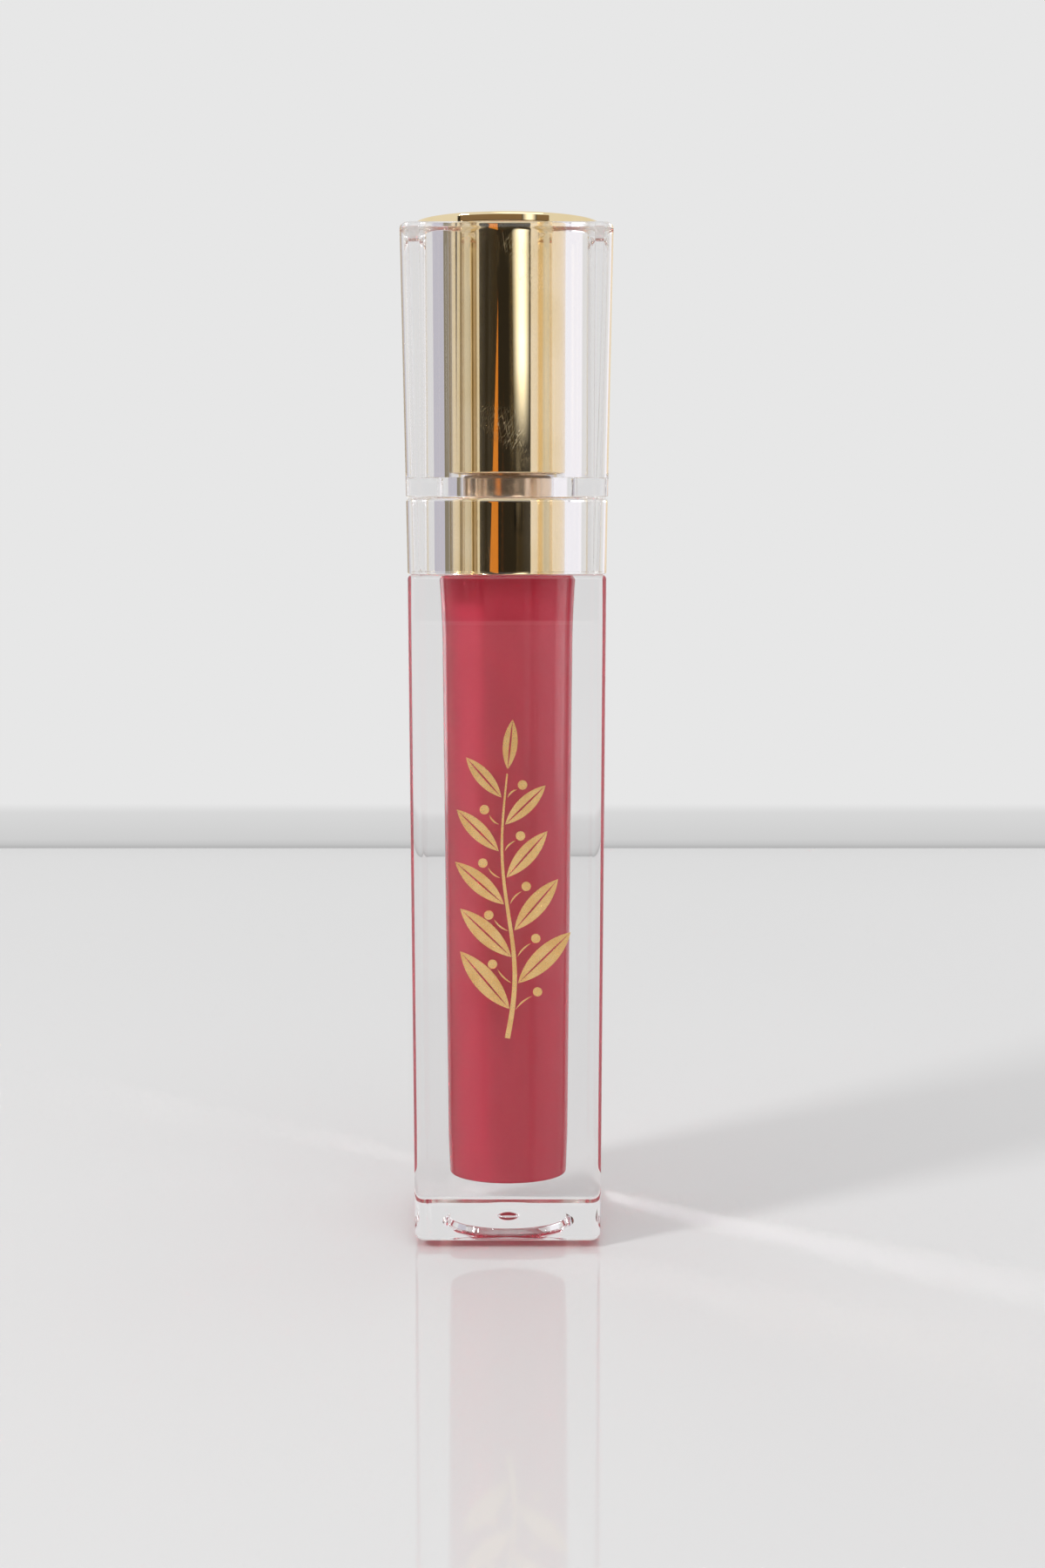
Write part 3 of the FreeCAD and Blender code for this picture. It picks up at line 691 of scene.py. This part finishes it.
def card(name, azimuths, heights, distance, colour, soft=0.0, rise=0.0, lean=0.0,
         diffuse=False, mirrored=False, through=True):
    """Curved card round the tube, seen through clear pieces if through, and in bare reflections if mirrored.

    Azimuths are degrees from the front towards +X, and heights millimetres. It glows less within the
    soft share of its width from its sides and within the rise share of its height from its lower edge,
    or from its upper edge if rise is negative. Its left side draws in to its right at the top by lean."""
    points, glows = [], []
    for row in range(CARD_STEPS + 1):
        up = row / CARD_STEPS
        z = heights[0] + (heights[1] - heights[0]) * up
        for column in range(CARD_STEPS + 1):
            across = column / CARD_STEPS
            a = math.radians(azimuths[1] - (azimuths[1] - azimuths[0]) * (1 - across) * (1 - lean * up))
            points.append((distance * math.sin(a), -distance * math.cos(a), z * MM))
            side = min(1.0, min(across, 1 - across) / soft) if soft else 1.0
            end = min(1.0, (up if rise > 0 else 1 - up) / abs(rise)) if rise else 1.0
            glows.append(side * end)
    wide = CARD_STEPS + 1
    corners = [row * wide + column for row in range(CARD_STEPS) for column in range(CARD_STEPS)]
    faces = [(corner, corner + 1, corner + wide + 1, corner + wide) for corner in corners]
    made = stage_mesh(name, points, faces, glowing(name, colour))
    set_glow(made, glows)
    made.visible_camera = False
    made.visible_glossy = mirrored
    made.visible_diffuse = diffuse
    made.visible_transmission = through
    made.visible_shadow = False


def area_light(name, azimuth, elevation, distance, width, height, power):
    """Rectangular light aimed at the tube. Azimuth is in degrees from the front towards +X."""
    data = bpy.data.lights.new(name, "AREA")
    data.shape = "RECTANGLE"
    data.size, data.size_y = width, height
    data.energy = power
    light = bpy.data.objects.new(name, data)
    bpy.context.collection.objects.link(light)
    a, e = math.radians(azimuth), math.radians(elevation)
    aim = Vector((0, 0, AIM_Z * MM))
    away = Vector((math.sin(a) * math.cos(e), -math.cos(a) * math.cos(e), math.sin(e)))
    light.location = aim + away * distance
    light.rotation_euler = away.to_track_quat("Z", "Y").to_euler()


def stage():
    """Glossy pale table, the glowing strip behind its rear edge with painted shade darkening its foot, and
    the pale room.
    """
    top = Finish("table", Roughness=0.05, IOR=1.6)
    top.shader.inputs["Base Color"].default_value = (*TABLE_GREY, 1)
    stage_mesh("table", [(-TABLE_SIDE, TABLE_FRONT, TABLE_Z), (TABLE_SIDE, TABLE_FRONT, TABLE_Z),
                         (TABLE_SIDE, TABLE_BACK, TABLE_Z), (-TABLE_SIDE, TABLE_BACK, TABLE_Z)],
               [(0, 1, 2, 3)], top.material)
    points = [(x, TABLE_BACK, z * MM + TABLE_Z) for z in STRIP_HEIGHTS for x in (-TABLE_SIDE, TABLE_SIDE)]
    faces = [(2 * i, 2 * i + 1, 2 * i + 3, 2 * i + 2) for i in range(len(STRIP_HEIGHTS) - 1)]
    # Painted shade: the strip is not lit but glows at fixed greys, darkest where it meets the table's rear
    # edge.
    strip = stage_mesh("strip", points, faces, glowing("strip", (1, 1, 1)))
    set_glow(strip, [coloured(level, level, level)[0] for level in STRIP_SHADE_SRGB for _ in range(2)])
    strip.visible_glossy = False
    strip.visible_shadow = False
    world = bpy.data.worlds.new("room")
    bpy.context.scene.world = world
    world.use_nodes = True
    world.node_tree.nodes["Background"].inputs["Color"].default_value = (*WALL_GREY, 1)


def lights():
    """Lamps from the front left and above, and the cards that the gold, clear pieces and gloss show."""
    area_light("key", -59, 37, 0.6, 0.08, 0.12, 1.45)
    area_light("top", 20, 50, 0.6, 0.50, 0.50, 0.70)

    # The room in front, which darkens the middle of the gold and of the head.
    card("dim_room", (-42, 48), (160, 900), 0.75, (0.06, 0.06, 0.06), diffuse=True)
    card("dark_room", (-62, 50), (45, 150), 0.30, (0.030, 0.026, 0.020), mirrored=True)
    card("low_room", (-62, 50), (0, 58), 0.295, (0.45, 0.45, 0.45), rise=-1.0)
    card("head_shade", (-58, 52), (128, 178), 0.29, (0.26, 0.18, 0.11), rise=0.3,
         mirrored=True, through=False)

    # Strips and glints in front of the dark room.
    card("warm_strip", (-41, -17), (45, 127), 0.29, (0.80, 0.30, 0.05), soft=0.06, lean=1.0)
    card("bright_strip", (13, 48), (93, 190), 0.285, (2.5, 2.5, 2.4), soft=0.4, rise=0.2, lean=-0.25)
    card("head_glint", (18, 36), (128, 170), 0.28, (1.7, 1.65, 1.6), soft=0.4, rise=0.3,
         mirrored=True, through=False)
    card("low_glint", (14, 30), (72, 92), 0.285, (0.16, 0.15, 0.13), soft=0.5, rise=0.5)

    # Panels on both sides, which light the bands of the gloss and the outer stripes of the gold.
    card("left_panel", (-125, -90), (0, 160), 0.30, (0.58, 0.56, 0.62), diffuse=True)
    card("left_gap", (-90, -73), (0, 160), 0.30, (0.27, 0.23, 0.16), diffuse=True)
    card("left_frame", (-73, -62), (0, 160), 0.30, (0.85, 0.82, 0.78), diffuse=True)
    card("right_panel", (50, 130), (0, 160), 0.30, (1.0, 0.98, 1.02), diffuse=True)
    card("low_right", (88, 150), (0, 52), 0.29, (2.5, 2.45, 2.5), soft=0.2, diffuse=True)


def camera():
    """Camera at the height of the cap, looking slightly down."""
    data = bpy.data.cameras.new("camera")
    data.lens = CAMERA_LENS
    data.sensor_width = CAMERA_SENSOR
    data.clip_start = 0.01
    made = bpy.data.objects.new("camera", data)
    bpy.context.collection.objects.link(made)
    made.location = (CAMERA_ACROSS * MM, -CAMERA_DISTANCE * MM, (CAMERA_HEIGHT + FOOT_HEIGHT) * MM)
    made.rotation_euler = (math.radians(CAMERA_TILT), 0, 0)
    bpy.context.scene.camera = made


def light_paths():
    """Enough bounces for thick clear plastic, with nothing clamped or blurred."""
    scene = bpy.context.scene
    scene.view_settings.view_transform = "Standard"
    scene.cycles.max_bounces = LIGHT_BOUNCES
    scene.cycles.glossy_bounces = LIGHT_BOUNCES
    scene.cycles.transmission_bounces = LIGHT_BOUNCES
    scene.cycles.sample_clamp_indirect = 0
    scene.cycles.blur_glossy = 0


stage()
lights()
camera()
light_paths()
